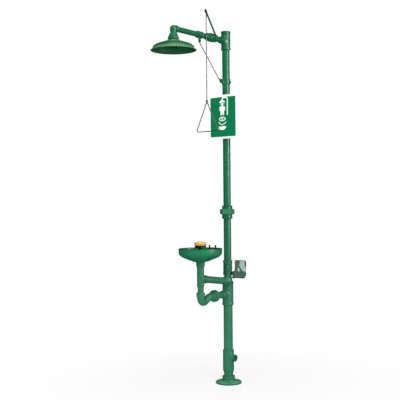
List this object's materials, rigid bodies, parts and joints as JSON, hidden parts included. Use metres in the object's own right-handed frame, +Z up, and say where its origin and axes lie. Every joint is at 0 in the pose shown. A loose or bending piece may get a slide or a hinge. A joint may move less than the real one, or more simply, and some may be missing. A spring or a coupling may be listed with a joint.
{
  "type": "emergency safety shower",
  "caption": "Floor-standing emergency drench shower with a pull-rod valve, an eyewash bowl on a side pipe with a push flag, and a pictogram sign.",
  "frame": {"origin": "centre of the floor flange's underside, on the stanchion's axis", "axes": "+Z up the stanchion, -Y out along the shower arm and over the bowl, +X to the right of a person who faces +Y"},
  "size_m": [0.336, 0.78, 2.4939],
  "materials": {
    "coated_pipe": "satin",
    "head_plastic": "satin",
    "bowl_plastic": "satin",
    "lever_coating": "satin",
    "stainless": "satin",
    "seal": "matte",
    "black_plastic": "matte",
    "cover_plastic": "satin",
    "sign_plastic": "satin"
  },
  "bodies": {
    "station": {"floor_flange": "coated_pipe", "waste_nipple": "coated_pipe", "waste_tee": "coated_pipe", "waste_pipe": "coated_pipe", "drain_tee": "coated_pipe", "separator_nipple": "coated_pipe", "supply_tee": "coated_pipe", "lower_supply_pipe": "coated_pipe", "union_lower_end": "coated_pipe", "union_gasket": "seal", "union_upper_end": "coated_pipe", "union_nut": "coated_pipe", "upper_supply_pipe": "coated_pipe", "top_tee": "coated_pipe", "arm_nipple": "coated_pipe", "shower_valve_body": "coated_pipe", "shower_valve_cap": "coated_pipe", "shower_inlet_seat": "seal", "shower_outlet_seat": "seal", "shower_packing_nut": "stainless", "arm_pipe": "coated_pipe", "arm_collar": "coated_pipe", "shower_elbow": "coated_pipe", "shower_head_nut": "head_plastic", "shower_bell": "head_plastic", "shower_deflector": "head_plastic", "brace_clamp": "coated_pipe", "brace_rod": "stainless", "sign_plate": "sign_plastic", "sign_clamp": "stainless", "branch_elbow": "coated_pipe", "eyewash_valve_body": "coated_pipe", "eyewash_upper_seat": "seal", "eyewash_lower_seat": "seal", "eyewash_packing_nut": "stainless", "outlet_elbow": "coated_pipe", "eyewash_supply_pipe": "coated_pipe", "column_body": "coated_pipe", "riser_tube": "stainless", "bowl": "bowl_plastic", "bowl_strainer": "stainless", "spray_base": "black_plastic", "rim_post_left": "black_plastic", "rim_post_right": "black_plastic", "slip_nut": "coated_pipe", "trap_bend": "coated_pipe", "trap_union_nut": "coated_pipe", "trap_arm": "coated_pipe"},
    "shower_lever": {"shower_lever": "lever_coating", "shower_lever_tip": "black_plastic", "shower_ball": "stainless", "shower_stem": "stainless", "shower_lever_nut": "stainless"},
    "pull_line": {"pull_rod": "stainless", "pull_handle": "stainless"},
    "eyewash_flag": {"push_flag": "stainless", "flag_nut": "stainless", "eyewash_stem": "stainless", "eyewash_ball": "stainless"},
    "dust_cover": {"spray_cover": "cover_plastic"}
  },
  "joints": [
    {"name": "shower_valve_turn", "type": "hinge", "parent": "station", "child": "shower_lever", "pos_m": [0, -0.164, 2.331], "axis": [1, 0, 0], "range_deg": [0, 90]},
    {"name": "pull_rod_swing", "type": "hinge", "parent": "shower_lever", "child": "pull_line", "pos_m": [0.045, -0.26099, 2.46449], "axis": [1, 0, 0], "range_deg": [-90, 0]},
    {"name": "eyewash_valve_turn", "type": "hinge", "parent": "station", "child": "eyewash_flag", "pos_m": [0.042, -0.05, 0.7543], "axis": [-1, 0, 0], "range_deg": [0, 90]},
    {"name": "dust_cover_flip", "type": "hinge", "parent": "station", "child": "dust_cover", "pos_m": [0, -0.253, 0.952], "axis": [-1, 0, 0], "range_deg": [0, 105]}
  ],
  "couplings": [
    {"joint": "pull_rod_swing", "follows": "shower_valve_turn", "ratio": -1}
  ]
}
